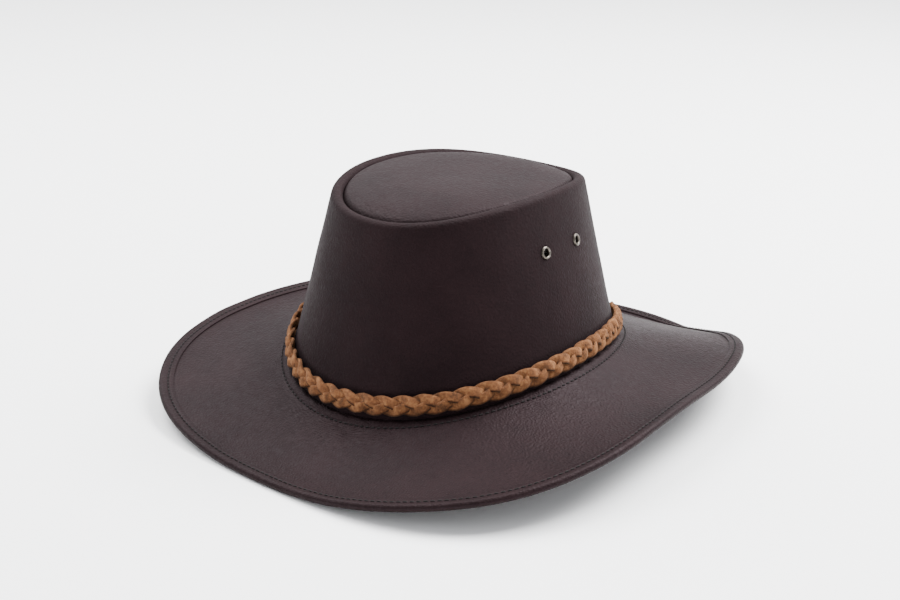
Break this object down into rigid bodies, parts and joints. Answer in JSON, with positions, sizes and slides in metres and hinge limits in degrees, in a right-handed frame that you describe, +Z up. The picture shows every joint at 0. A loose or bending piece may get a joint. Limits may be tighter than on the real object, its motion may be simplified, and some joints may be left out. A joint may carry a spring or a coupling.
{
  "type": "leather bush hat",
  "caption": "Dark brown leather bush hat with an open hollow crown, a curled brim with a turned hem, a plaited tan band and metal eyelets.",
  "frame": {"origin": "middle of the hat's footprint, on the surface that the brim rests on", "axes": "+Z up through the crown, -Y towards the front of the brim, +X towards the wearer's left"},
  "size_m": [0.3064, 0.3542, 0.137],
  "materials": {
    "dark_leather": "semi-matt, fine grain",
    "tan_lace": "matt, brushed",
    "aged_brass": "aged, satin"
  },
  "bodies": {
    "root": {"crown_wall": "dark_leather", "crown_tip": "dark_leather", "brim": "dark_leather", "brim_hem": "dark_leather", "hat_band": "tan_lace", "eyelet_left_front": "aged_brass", "eyelet_left_back": "aged_brass", "eyelet_right_front": "aged_brass", "eyelet_right_back": "aged_brass"}
  },
  "joints": []
}
